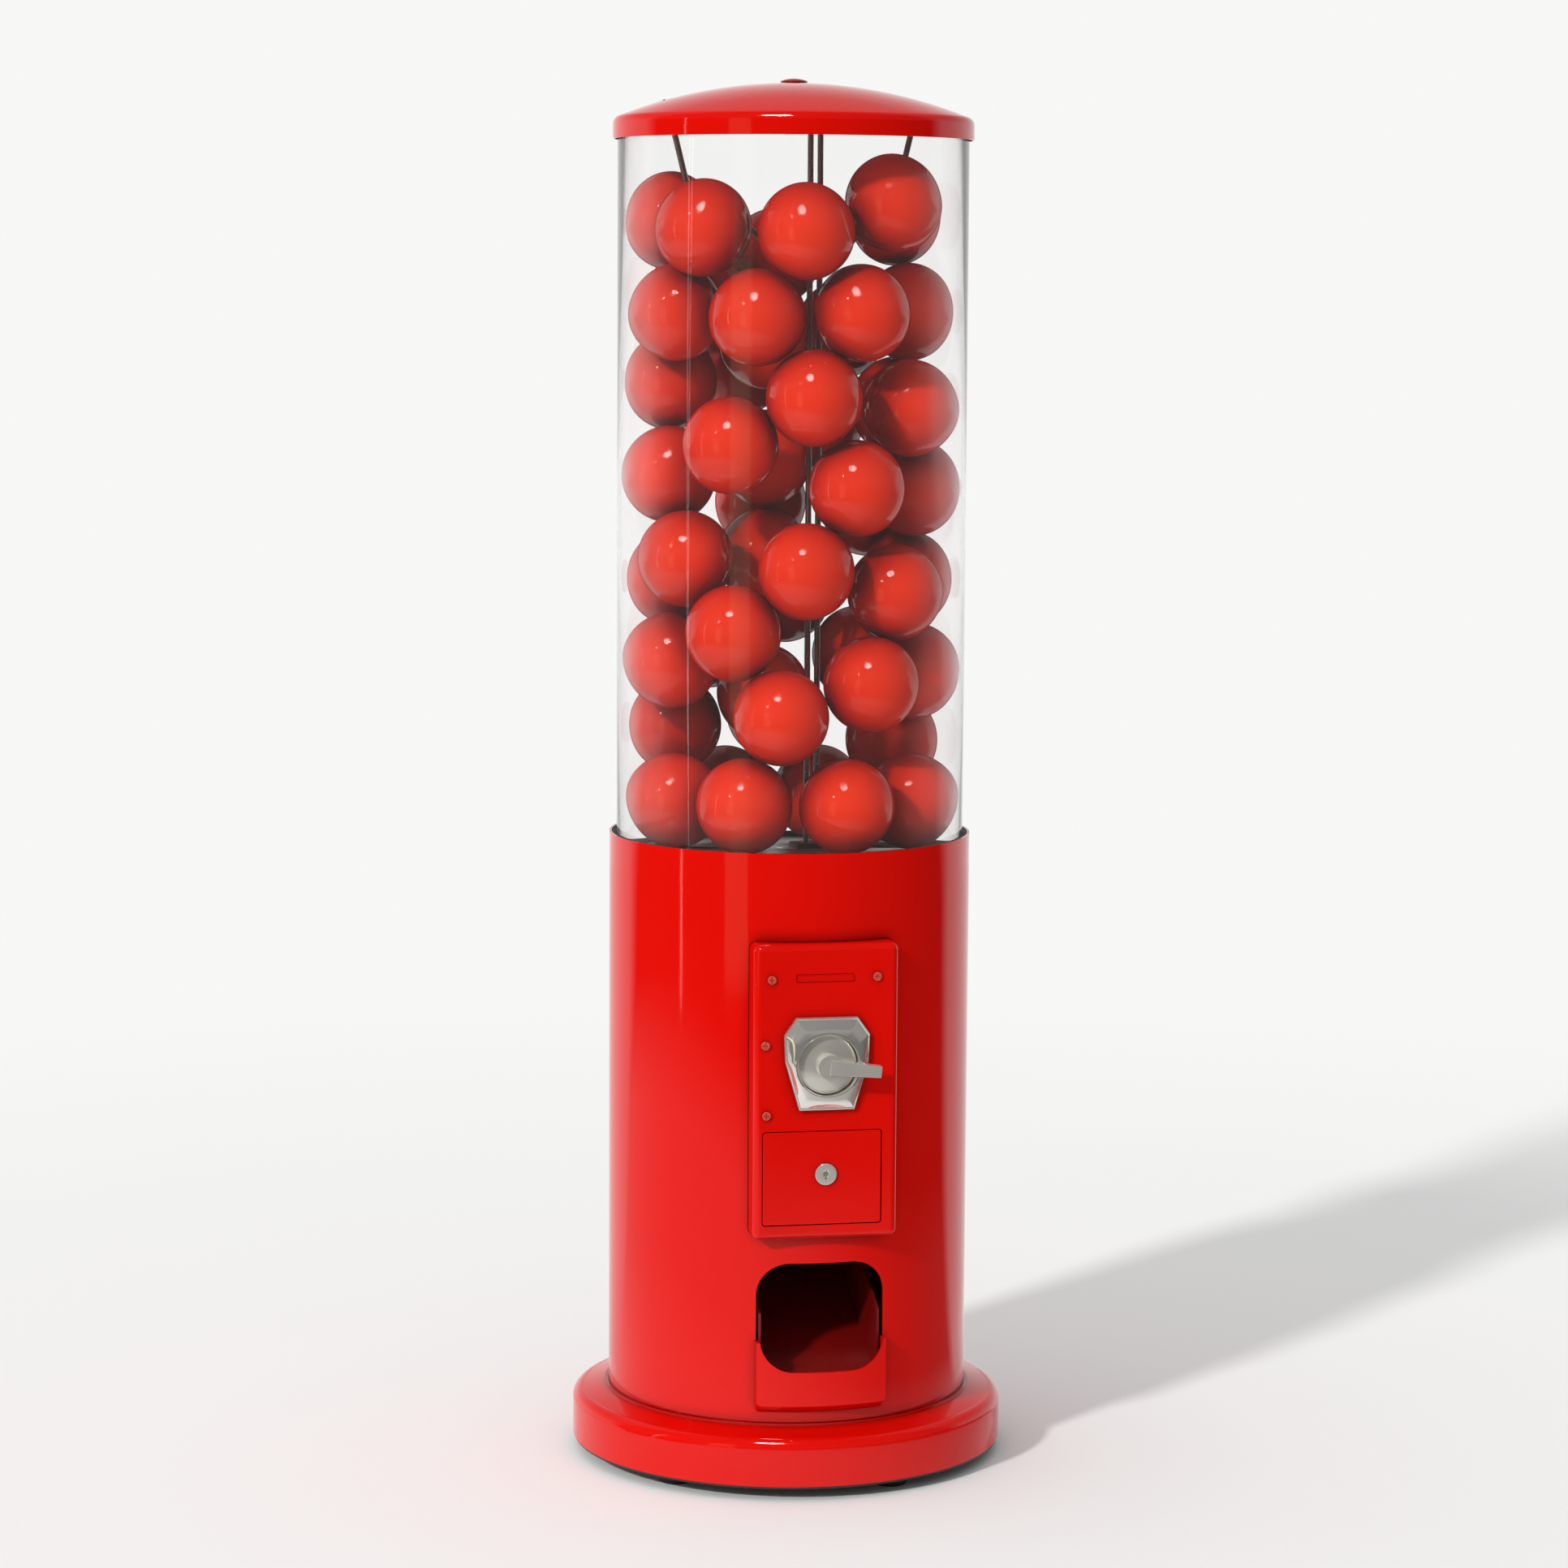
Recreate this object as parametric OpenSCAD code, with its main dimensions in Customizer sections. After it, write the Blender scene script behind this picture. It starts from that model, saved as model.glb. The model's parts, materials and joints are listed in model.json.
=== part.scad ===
// Free-standing gumball machine with a clear tank, a coin mechanism and a five-pocket dispensing wheel.
// Front is -Y, up is +Z, the floor is z = 0.

/* [Body] */
// Outer radius of the round sheet body
body_r = 150; // [146:1:156]
// Height of the body's top rim above the floor
rim_z = 523; // [518:1:535]
// Sheet thickness of the body, the front housing and the lid
sheet_t = 2; // [1.6:0.1:2.4]
// How far the base skirt stands out from the body
base_out = 30; // [26:1:40]
// Height of the base skirt's upper edge above the floor
base_top_z = 51; // [46:1:54]
// Height of the rubber feet
foot_h = 10; // [8:0.5:12]
// Diameter of a rubber foot
foot_d = 30; // [20:1:34]

/* [Tank] */
// How far the tank tube's outside lies within the body's outside
tube_inset = 6; // [5.5:0.5:7]
// Wall of the tank tube
tube_t = 3; // [2:0.5:3.5]
// Height of the tank tube
tube_h = 585; // [580:1:620]
// Diameter of a gumball
ball_d = 78; // [75:0.5:80]
// Diameter of the upright rods and the stay rods
rod_d = 5; // [4:0.5:5.5]

/* [Lid] */
// How far the lid stands out past the tank tube
lid_over = 4; // [3:0.5:6]
// Radius of the sphere that the lid's dome follows
dome_r = 390; // [370:5:420]
// Height of the lid from its lower edge to the top of the dome
lid_h = 46; // [45:0.5:48]

/* [Front housing] */
// Width of the front housing
panel_w = 118; // [116:1:122]
// Height of the front housing
panel_h = 240; // [238:1:246]
// Height of the front housing's lower edge
panel_z = 212; // [208:1:216]
// How far the housing's face stands out from the body
panel_out = 12; // [8:1:16]
// Corner and edge radius of the housing
panel_edge = 6; // [4:0.5:8]

/* [Coin mechanism] */
// Height of the handle shaft above the housing's lower edge
shaft_up = 143; // [141:1:145]
// Diameter of the handle shaft
shaft_d = 8; // [7:0.5:8]
// Radius of the turning coin disc
coin_disc_r = 24; // [22:0.5:25]
// Length of the lever from the shaft axis
lever_len = 41; // [36:1:44]
// Gap around everything that turns or slides
run_gap = 0.3; // [0.2:0.05:0.4]
// Radial gap of a shaft in its bore
fit_gap = 0.05; // [0.03:0.01:0.09]

/* [Cash drawer] */
// Width of the drawer front
drawer_w = 97; // [90:1:99]
// Height of the drawer front
drawer_h = 76; // [72:1:78]
// Height of the drawer front's lower edge above the housing's lower edge
drawer_up = 12; // [10:1:14]
// Sideways offset of the drawer front
drawer_x = -3; // [-4:1:0]
// Depth of the cash box behind the drawer front
cash_depth = 72; // [60:1:76]
// Diameter of the lock's head
lock_d = 17.5; // [16:0.5:19]

/* [Dispensing wheel] */
// Number of ball pockets
pockets = 5; // [5:1:5]
// Distance from the wheel's outer edge in to the pocket centres
pocket_in = 46; // [45.5:0.5:47]
// Clearance of a ball in its pocket, on the diameter
pocket_gap = 8; // [6:0.5:8.5]
// Diameter of the upright wheel shaft
wheel_shaft_d = 12; // [10:0.5:14]
// Teeth on the pinion
pinion_teeth = 8; // [8:1:8]
// Circular pitch of the gear teeth
tooth_pitch = 6.283; // [6.2:0.05:6.4]

/* [Delivery] */
// Width of the delivery opening
opening_w = 105; // [101:1:107]
// Height of the opening's upper edge above the floor
opening_top_z = 189; // [185:1:192]
// Corner radius of the opening
opening_r = 27; // [20:1:32]
// Height of the lip's upper edge in the middle
lip_top_z = 101; // [97:1:105]
// How far the lip stands out from the body
lip_out = 10; // [9:0.5:12]

/* [Hidden] */
$fn = 96;
eps = 0.01;
big = 800;

body_ir = body_r - sheet_t;
base_r = body_r + base_out;
tube_r = body_r - tube_inset;
lid_r = tube_r + lid_over;
panel_y = body_r + panel_out;
shaft_z = panel_z + shaft_up;
drawer_z = panel_z + drawer_up;
seat_r = body_ir - run_gap;
plate_t = 2.4;
base_z = foot_h;
base_plate_t = 2;
skirt_z = base_z + base_plate_t;
foot_ring_r = base_r - 31;
feet = 5;
foot_turn = 24;
bolt_turn = foot_turn + 180 / feet;
bolt_ring_r = body_r - 14;
bolt_d = 6;
bolt_hex = 11;

// levels of the wheel and the plates around it
floor_top_z = rim_z - 5;
floor_z = floor_top_z - plate_t;
wheel_top_z = floor_z - 2.6;
wheel_h = ball_d + 4;
wheel_z = wheel_top_z - wheel_h;
drop_plate_top_z = wheel_z - 1;
drop_plate_z = drop_plate_top_z - 3;
wheel_r = body_ir - 6;
pocket_ring_r = wheel_r - pocket_in;
vane_t = 4;
wheel_hub_d = 34;
pocket_d = ball_d + pocket_gap;
hole_d = pocket_d + 4;
pick_up_turns = [-108, 108];
pocket_step = 360 / pockets;
bush_d = 20;
bush_flange_d = 28;
bush_flange_t = 3;

// gears
crown_teeth = pinion_teeth * pockets;
pinion_r = pinion_teeth * tooth_pitch / 360 * 180 / PI;
crown_r = crown_teeth * tooth_pitch / 360 * 180 / PI;
pitch_z = shaft_z + pinion_r;
addendum = 1.6;
dedendum = 2.2;
crown_face = 6;
crown_disc_t = 6;
tooth_root_w = 2.5;
tooth_tip_w = 1.2;
shaft_end_y = -crown_r + 6;

// tank and lid
tube_ir = tube_r - tube_t;
tube_z = floor_top_z + run_gap;
tube_top_z = tube_z + tube_h;
seal_t = 5;
lid_z = tube_top_z - 11.3;
lid_top_z = lid_z + lid_h;
dome_z = lid_top_z - dome_r;
lid_t = 1.6;
slot_r = lid_r - 41;
slot_w = rod_d + 2;
slot_len = 14;
stud_d = 8;
cap_nut_d = 22;
cap_nut_h = 3.5;

// upright rods: places of the two rods, and what holds them
rod_x = 13.7;
rod_y = -2.8;
rod2_x = 25.5;
rod2_y = 15.2;
bridge_z = lid_z - 5;
bridge_t = 4;
rod_foot_t = 4;
collar_z = lid_z - 112;
collar_h = 8;
collar_margin = 7;
stay_bend_r = slot_r - 18;
stay_bend_z = lid_z - 42;

// housing, drawer and mechanism
face_y = -panel_y;
panel_back_y = 22 - body_r;
mech_t = 10;
mech_w = 70;
mech_h = 75;
mech_top_w = 50;
mech_bottom_w = 45;
mech_z = shaft_z - 37;
mech_front_y = face_y - mech_t;
cup_r = coin_disc_r + 4;
cup_depth = 34;
pawl_x = 2 - coin_disc_r;
pawl_up = 6;
pawl_pin_d = 2;
drawer_gap = 0.6;
drawer_t = 3;
drawer_front_y = face_y;
lock_x = 0;
lock_z = drawer_z + 41;
cam_len = 42;
guide_t = 1.5;
box_w = 80;
box_h = 60;
box_z = drawer_z + 6;
box_wall = 1.5;
lever_tilt = 6;
hub_out = 9;
lip_wall = 2.5;
lip_side = 3;
chute_w = 96;
chute_t = 2;
chute_front_z = 84;
chute_back_z = 200;
chute_back_y = body_ir - 5;

// Screws of the housing: place across and height
screw_places = [[-45, 424], [41, 425], [-50, 371], [-49, 314]];
screw_head_d = 7;
screw_d = 4;

// Gumballs against the tank wall, in rising order: turn from the front in degrees, height of the centre in ball
// diameters above the hopper floor. A ball that would cut one already placed rests on it instead. The "core" balls
// lie inside the others, behind the upright rods.
ball_places = [[-79, 0.5], [-32, 0.5], [16, 0.5], [66, 0.5], [155, 0.5], [-158, 0.5], [112, 1.1],
  [-120, 1.25], [-15, 1.35], [178, 1.35], ["core", 1.6], [82, 1.5], [29, 1.75], [-85, 1.95], [135, 1.95],
  [-148, 2.1], [-38, 2.2], [98, 2.45], [45, 2.6], [172, 2.5], [-115, 2.7], [-4, 2.9], [-68, 2.95],
  ["core", 3], [130, 3.1], [84, 3.4], [-176, 3.5], [20, 3.7], [-92, 3.85], [157, 4], [-40, 4.2],
  ["core", 4], [110, 4.3], [60, 4.5], [-1, 4.65], [-108, 4.7], [-166, 4.9], ["core", 5.2], [145, 5],
  [98, 5.2], [-138, 5.4], [22, 5.4], [-27, 5.4], [-78, 5.45], [178, 6], [112, 6.1], [-56, 6.2],
  [-108, 6.25], [-5, 6.3], [41, 6.65]];

ball_wall_r = tube_ir - ball_d / 2 - 0.2;
ball_limit_z = lid_z - ball_d / 2 - 2;
core_gap = (ball_d + rod_d) / 2 + run_gap;
core_place = [rod_x + core_gap * cos(140), rod_y + core_gap * sin(140)];
core_limit_z = collar_z - ball_d / 2 - 5;

function at(turn, r) = [r * sin(turn), -r * cos(turn)];
function flat_gap(a, b) = norm([a[0] - b[0], a[1] - b[1]]);
function rest_on(p, placed) = max([for (q = placed)
  let (g = flat_gap(p, q)) g < ball_d ? q[2] + sqrt(ball_d * ball_d - g * g) + 0.05 : 0]);
function settle(i, placed) = i >= len(ball_places) ? placed :
  let (inner = ball_places[i][0] == "core",
       p = inner ? core_place : at(ball_places[i][0], ball_wall_r),
       own = floor_top_z + ball_places[i][1] * ball_d + 0.1,
       z = max(own, len(placed) == 0 ? 0 : rest_on(p, placed)))
  settle(i + 1, z > (inner ? core_limit_z : ball_limit_z) ? placed : concat(placed, [[p[0], p[1], z]]));
settled = settle(0, []);

// Rectangle with round corners, centred in x, standing on y = 0
module round_rect(w, h, r) {
  translate([-w / 2 + r, 0]) square([w - 2 * r, h]);
  translate([-w / 2, r]) square([w, h - 2 * r]);
  for (x = [-w / 2 + r, w / 2 - r], y = [r, h - r]) translate([x, y]) circle(r);
}

// Stands a drawing in x and height up on the plane y = y0 and extrudes it towards +Y
module upright(y0, depth) {
  translate([0, y0 + depth, 0]) rotate([90, 0, 0]) linear_extrude(depth) children();
}

// Cylinder along +Y
module rod_y_axis(x, y, z, d, len) {
  translate([x, y, z]) rotate([-90, 0, 0]) cylinder(d = d, h = len);
}

module ring(r_out, r_in, z, h) {
  translate([0, 0, z]) difference() {
    cylinder(r = r_out, h = h);
    translate([0, 0, -1]) cylinder(r = r_in, h = h + 2);
  }
}

// Round bar through the centres of its two round ends
module bar(a, b, d) {
  hull() {
    translate(a) sphere(d = d, $fn = 24);
    translate(b) sphere(d = d, $fn = 24);
  }
}

module rubber_feet() {
  color("black") for (i = [0 : feet - 1]) rotate([0, 0, foot_turn + i * 360 / feet])
    translate([0, -foot_ring_r, 0]) {
      cylinder(d1 = foot_d - 3, d2 = foot_d, h = foot_h / 2);
      translate([0, 0, foot_h / 2]) cylinder(d = foot_d, h = foot_h / 2);
    }
}

module at_bolts() {
  for (i = [0 : feet - 1]) rotate([0, 0, bolt_turn + i * 360 / feet]) translate([0, -bolt_ring_r, 0]) children();
}

module bolt_holes() {
  at_bolts() cylinder(d = bolt_d + 0.2, h = skirt_z + 20);
}

module base_plate() {
  color("dimgray") difference() {
    translate([0, 0, base_z]) cylinder(r = base_r - 1, h = base_plate_t);
    bolt_holes();
  }
}

module base_skirt() {
  edge = 9;
  color("red") difference() {
    union() {
      translate([0, 0, skirt_z]) cylinder(r = base_r, h = base_top_z - edge - skirt_z);
      translate([0, 0, base_top_z - edge]) cylinder(r = base_r - edge, h = edge);
      translate([0, 0, base_top_z - edge]) rotate_extrude() translate([base_r - edge, 0]) circle(edge);
      translate([0, 0, base_top_z - eps]) cylinder(r1 = base_r - edge, r2 = body_r + 3, h = 4);
      translate([0, 0, base_top_z + 2]) cylinder(r = body_r + 3, h = 4);
    }
    cylinder(r = body_r + run_gap, h = big);
    translate([0, 0, skirt_z - 1]) cylinder(r = base_r - 3, h = base_top_z - edge - skirt_z + 1);
    translate([0, 0, base_top_z - edge - eps]) cylinder(r1 = base_r - 3, r2 = body_r + 6, h = edge - 2);
  }
}

module body_bolts() {
  color("silver") at_bolts() {
    translate([0, 0, base_z - 4]) cylinder(d = bolt_hex, h = 4, $fn = 6);
    translate([0, 0, base_z - eps]) cylinder(d = bolt_d, h = base_plate_t + 5);
    translate([0, 0, skirt_z + 2]) cylinder(d = bolt_hex, h = 5, $fn = 6);
  }
}

module body_shell() {
  flange_w = 22;
  color("red") difference() {
    union() {
      ring(body_r, body_ir, skirt_z, rim_z - skirt_z);
      ring(body_ir + eps, body_ir - flange_w, skirt_z, 2);
    }
    upright(-body_r - 20, 60) translate([0, panel_z - run_gap])
      round_rect(panel_w + 2 * run_gap, panel_h + 2 * run_gap, panel_edge + run_gap);
    upright(-body_r - 20, 80) translate([0, chute_front_z - 4])
      round_rect(opening_w, opening_top_z - chute_front_z + 4, opening_r);
    bolt_holes();
  }
}

module rim_gasket() {
  color("dimgray") ring(seat_r, tube_r + run_gap, floor_top_z, rim_z - floor_top_z - 0.5);
}

module delivery_lip() {
  r_out = body_r + lip_out;
  r_back = body_r + run_gap;
  bottom = lip_top_z - 35;
  floor = chute_front_z - 3;
  side_top = lip_top_z + 24;
  color("red") difference() {
    intersection() {
      rotate_extrude() polygon([[r_back, bottom], [r_out, bottom + 7], [r_out, side_top], [r_back, side_top]]);
      translate([-opening_w / 2 - 1, -r_out - 5, 0]) cube([opening_w + 2, r_out, big]);
    }
    intersection() {
      ring(r_out - lip_wall, body_r - 5, floor, big);
      translate([-opening_w / 2 - 1 + lip_side, -r_out - 5, 0]) cube([opening_w + 2 - 2 * lip_side, r_out, big]);
    }
    upright(-r_out - 10, 80) translate([0, lip_top_z]) round_rect(opening_w - 3, 120, opening_r);
  }
}

function chute_floor_z(y) = chute_front_z + (chute_back_z - chute_front_z) * (y + body_r) / (chute_back_y + body_r);

module chute_side(y0, z_up, w) {
  rotate([90, 0, 90]) translate([0, 0, -w / 2]) linear_extrude(w) polygon([
    [y0, chute_floor_z(y0)], [chute_back_y, chute_back_z], [chute_back_y, chute_back_z + z_up],
    [y0, chute_floor_z(y0) + z_up]]);
}

module delivery_chute() {
  front_y = -body_r + 2;
  color("dimgray") difference() {
    intersection() {
      translate([0, 0, -chute_t]) chute_side(front_y, 60, chute_w + 2 * chute_t);
      cylinder(r = seat_r - 0.5, h = big);
    }
    chute_side(front_y - 20, 80, chute_w);
  }
}

module drop_tube() {
  tube_wall = 2;
  low = chute_floor_z(pocket_ring_r) + ball_d - 3;
  color("dimgray") translate([0, pocket_ring_r, 0]) difference() {
    union() {
      translate([0, 0, low]) cylinder(d = hole_d + 2 * tube_wall, h = drop_plate_z - low);
      translate([0, 0, drop_plate_z - 2]) intersection() {
        cylinder(d = hole_d + 12, h = 2);
        translate([0, -pocket_ring_r, -1]) cylinder(r = seat_r - 3, h = 10);
      }
    }
    translate([0, 0, low - 1]) cylinder(d = hole_d, h = big);
  }
}

module front_housing() {
  e = panel_edge;
  color("red") difference() {
    hull() for (x = [-panel_w / 2 + e, panel_w / 2 - e], z = [panel_z + e, panel_z + panel_h - e]) {
      translate([x, face_y + e, z]) sphere(e, $fn = 40);
      rod_y_axis(x, face_y + e, z, 2 * e, panel_y + panel_back_y - e, $fn = 40);
    }
    upright(face_y + sheet_t, 60) translate([0, panel_z + sheet_t])
      round_rect(panel_w - 2 * sheet_t, panel_h - 2 * sheet_t, e - sheet_t);
    cylinder(r = body_ir, h = big);
    upright(face_y - 2, 10) translate([drawer_x, drawer_z - drawer_gap])
      round_rect(drawer_w + 2 * drawer_gap, drawer_h + 2 * drawer_gap, 3);
    rod_y_axis(0, face_y - 2, shaft_z, 2 * (cup_r - 2), 10);
    upright(face_y - 1, 1.8) translate([-1, 421]) round_rect(48, 7, 1.5);
    for (s = screw_places) rod_y_axis(s[0], face_y - 2, s[1], screw_d + 0.4, 10);
  }
}

module housing_screws() {
  color("red") for (s = screw_places) difference() {
    union() {
      rod_y_axis(s[0], face_y - 2, s[1], screw_head_d, 2);
      rod_y_axis(s[0], face_y - eps, s[1], screw_d, 9);
    }
    translate([s[0] - 2.2, face_y - 3, s[1] - 0.4]) cube([4.4, 2, 0.8]);
    translate([s[0] - 0.4, face_y - 3, s[1] - 2.2]) cube([0.8, 2, 4.4]);
  }
}

module cash_guide() {
  gap = run_gap + guide_t;
  y0 = face_y + drawer_t + run_gap;
  web_z = panel_z + sheet_t + 1;
  color("silver") difference() {
    union() {
      translate([-box_w / 2 - gap, y0, box_z - gap]) cube([box_w + 2 * gap, cash_depth + 4, box_h / 2]);
      translate([-box_w / 2 - gap, y0, web_z]) cube([box_w + 2 * gap, guide_t, box_z - web_z]);
      translate([-box_w / 2 - gap, face_y + sheet_t, web_z])
        cube([box_w + 2 * gap, y0 - face_y, drawer_z - drawer_gap - 1 - web_z]);
    }
    translate([-box_w / 2 - run_gap, y0 - 1, box_z - run_gap]) cube([box_w + 2 * run_gap, big, box_h]);
  }
}

module cash_drawer_front() {
  color("red") difference() {
    upright(drawer_front_y, drawer_t) translate([drawer_x, drawer_z]) round_rect(drawer_w, drawer_h, 2.4);
    rod_y_axis(lock_x, face_y - 2, lock_z, lock_d - 3 + 2 * fit_gap, 10);
  }
}

module cash_box() {
  y0 = drawer_front_y + drawer_t;
  color("silver") difference() {
    translate([-box_w / 2, y0, box_z]) cube([box_w, cash_depth, box_h]);
    translate([-box_w / 2 + box_wall, y0 + box_wall, box_z + box_wall])
      cube([box_w - 2 * box_wall, cash_depth - 2 * box_wall, box_h]);
    rod_y_axis(lock_x, y0 - 1, lock_z, lock_d + 5, 10);
    translate([-box_w / 2 - 1, y0 - 1, lock_z - 6]) cube([box_w + 2, 12, box_h]);
  }
}

module lock_cylinder() {
  color("silver") difference() {
    union() {
      rod_y_axis(lock_x, face_y - 2, lock_z, lock_d, 2 - 0.1);
      rod_y_axis(lock_x, face_y - 1, lock_z, lock_d - 3, 12);
    }
    rod_y_axis(lock_x, face_y - 3, lock_z, 5, 6);
    translate([lock_x - 0.9, face_y - 3, lock_z - 4.2]) cube([1.8, 6, 8.4]);
  }
}

module lock_cam() {
  cam_y = face_y + 5.5;
  color("silver") difference() {
    union() {
      rod_y_axis(lock_x, cam_y, lock_z, lock_d + 2.5, 2);
      translate([lock_x, cam_y, lock_z - 5]) cube([cam_len, 2, 10]);
    }
    rod_y_axis(lock_x, cam_y - 1, lock_z, lock_d - 3 + 2 * fit_gap, 5);
  }
}

module mech_outline() {
  polygon([[-mech_top_w / 2, mech_h], [mech_top_w / 2, mech_h], [mech_w / 2, mech_h - 14],
    [mech_w / 2 - 1, mech_h - 36], [mech_bottom_w / 2, 0], [-mech_bottom_w / 2, 0],
    [-mech_w / 2 + 1, mech_h - 36], [-mech_w / 2, mech_h - 14]]);
}

module mech_plate() {
  rim = 0.93;
  color("silver") difference() {
    upright(mech_front_y, mech_t) translate([0, mech_z]) mech_outline();
    hull() {
      upright(mech_front_y - 0.5, 0.6) translate([0, mech_z + mech_h / 2]) scale(rim)
        translate([0, -mech_h / 2]) mech_outline();
      rod_y_axis(0, mech_front_y + 5.4, shaft_z, 2 * (coin_disc_r + run_gap), 0.1, $fn = 48);
    }
    rod_y_axis(0, mech_front_y - 1, shaft_z, 2 * (coin_disc_r + run_gap), mech_t + 2);
    translate([-12, mech_front_y + 1.5, shaft_z + coin_disc_r - 4]) cube([24, 3, 9]);
  }
}

module mech_housing() {
  y0 = face_y + sheet_t;
  color("gray") {
    difference() {
      union() {
        rod_y_axis(0, y0, shaft_z, 2 * cup_r, cup_depth);
        upright(y0, 2) translate([0, shaft_z - 33]) round_rect(80, 66, 4);
        rod_y_axis(0, y0 + cup_depth - 1, shaft_z, 18, 9);
      }
      rod_y_axis(0, y0 - 1, shaft_z, 2 * (cup_r - 2), cup_depth - 1);
      rod_y_axis(0, y0, shaft_z, shaft_d + 2 * fit_gap, cup_depth + 20);
      translate([-15, y0 + 6, shaft_z - cup_r - 5]) cube([30, 14, 14]);
    }
    rod_y_axis(pawl_x, y0 + 5, shaft_z + pawl_up, pawl_pin_d, cup_depth - 6.5);
  }
}

module coin_pawl() {
  y0 = face_y + 8;
  pawl_w = 6;
  color("silver") difference() {
    union() {
      rod_y_axis(pawl_x, y0, shaft_z + pawl_up, 5, pawl_w);
      translate([pawl_x - 0.6, y0, shaft_z - 8]) cube([2.2, pawl_w, 8 + pawl_up]);
    }
    rod_y_axis(pawl_x, y0 - 1, shaft_z + pawl_up, pawl_pin_d + 2 * fit_gap, 30);
  }
}

module coin_disc() {
  color("silver") difference() {
    union() {
      rod_y_axis(0, mech_front_y + 4, shaft_z, 2 * coin_disc_r, 3);
      rod_y_axis(0, mech_front_y + 6.9, shaft_z, 2 * coin_disc_r - 8, 20);
    }
    rod_y_axis(0, mech_front_y, shaft_z, shaft_d + 2 * fit_gap, 60);
    translate([-12, mech_front_y + 5, shaft_z + 12]) cube([24, 3, 20]);
  }
}

module turn_handle() {
  hub_d = 20;
  front = mech_front_y - hub_out;
  color("silver") difference() {
    union() {
      rod_y_axis(0, front, shaft_z, hub_d, hub_out + 3.9);
      translate([0, 0, shaft_z]) rotate([0, lever_tilt, 0]) hull() {
        translate([0, front - 1, -6]) cube([6, 7.5, 12]);
        translate([lever_len - 3, front - 3, -4.5]) cube([3, 9, 9]);
      }
    }
    rod_y_axis(0, front + 4, shaft_z, shaft_d + 2 * fit_gap, 30);
  }
}

module handle_shaft() {
  y0 = mech_front_y - hub_out + 4.5;
  color("gray") rod_y_axis(0, y0, shaft_z, shaft_d, shaft_end_y - y0);
}

module drive_pinion() {
  face = 8;
  color("goldenrod") translate([0, -crown_r + face / 2, shaft_z]) rotate([90, 0, 0]) linear_extrude(face)
    difference() {
      union() {
        circle(pinion_r - dedendum);
        for (i = [0 : pinion_teeth - 1]) rotate(90 + i * 360 / pinion_teeth) polygon([
          [pinion_r - dedendum - 0.8, -tooth_root_w / 2], [pinion_r + addendum, -tooth_tip_w / 2],
          [pinion_r + addendum, tooth_tip_w / 2], [pinion_r - dedendum - 0.8, tooth_root_w / 2]]);
      }
      circle(shaft_d / 2 + fit_gap);
    }
}

module shaft_bracket() {
  y0 = -70;
  top = drop_plate_z;
  color("silver") difference() {
    union() {
      translate([-14, y0, shaft_z - 12]) cube([28, 4, top - shaft_z + 12]);
      translate([-14, y0, top - 3]) cube([28, 20, 3]);
      rod_y_axis(0, y0 - 4, shaft_z, 18, 10);
    }
    rod_y_axis(0, y0 - 10, shaft_z, shaft_d + 2 * fit_gap, 30);
  }
}

module crown_gear() {
  root_z = pitch_z + dedendum;
  color("goldenrod") {
    ring(crown_r + crown_face / 2 + 1.5, wheel_shaft_d / 2 + fit_gap, root_z, crown_disc_t);
    ring(13, wheel_shaft_d / 2 + fit_gap, root_z, drop_plate_z - 28 - root_z);
    for (i = [0 : crown_teeth - 1]) rotate([0, 0, (i + 0.5) * 360 / crown_teeth])
      translate([0, -crown_r + crown_face / 2, 0]) rotate([90, 0, 0]) linear_extrude(crown_face)
        polygon([[-tooth_root_w / 2, root_z + 0.5], [-tooth_tip_w / 2, pitch_z - addendum],
          [tooth_tip_w / 2, pitch_z - addendum], [tooth_root_w / 2, root_z + 0.5]]);
  }
}

module wheel_shaft() {
  z0 = pitch_z + dedendum - 1;
  color("gray") translate([0, 0, z0]) cylinder(d = wheel_shaft_d, h = floor_top_z - 0.5 - z0);
}

module dispensing_wheel() {
  color("white") difference() {
    union() {
      translate([0, 0, wheel_z - 0.7]) cylinder(d = wheel_hub_d, h = wheel_h + 0.7);
      for (i = [0 : pockets - 1]) rotate([0, 0, (i + 0.5) * pocket_step])
        translate([-vane_t / 2, 0, wheel_z]) cube([vane_t, wheel_r, wheel_h]);
    }
    translate([0, 0, wheel_z - 5]) cylinder(d = wheel_shaft_d + 2 * fit_gap, h = wheel_h + 10);
  }
}

module pocket_gumballs() {
  color("orangered") for (i = [1 : pockets - 1]) rotate([0, 0, i * pocket_step])
    translate([0, pocket_ring_r, drop_plate_top_z + ball_d / 2 + run_gap]) sphere(d = ball_d);
}

module lower_bush() {
  color("goldenrod") difference() {
    union() {
      translate([0, 0, drop_plate_z - 4]) cylinder(d = bush_d, h = drop_plate_top_z - drop_plate_z + 4);
      translate([0, 0, drop_plate_z - bush_flange_t]) cylinder(d = bush_flange_d, h = bush_flange_t);
    }
    translate([0, 0, drop_plate_z - 10]) cylinder(d = wheel_shaft_d + 2 * fit_gap, h = 30);
  }
}

module upper_bush() {
  color("goldenrod") ring(bush_d / 2, wheel_shaft_d / 2 + fit_gap, floor_z - 1.4, plate_t + 1.4);
}

module drop_plate() {
  color("silver") difference() {
    translate([0, 0, drop_plate_z]) cylinder(r = seat_r, h = drop_plate_top_z - drop_plate_z);
    translate([0, pocket_ring_r, drop_plate_z - 1]) cylinder(d = hole_d, h = 10);
    translate([0, 0, drop_plate_z - 1]) cylinder(d = bush_d, h = 10);
  }
}

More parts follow.
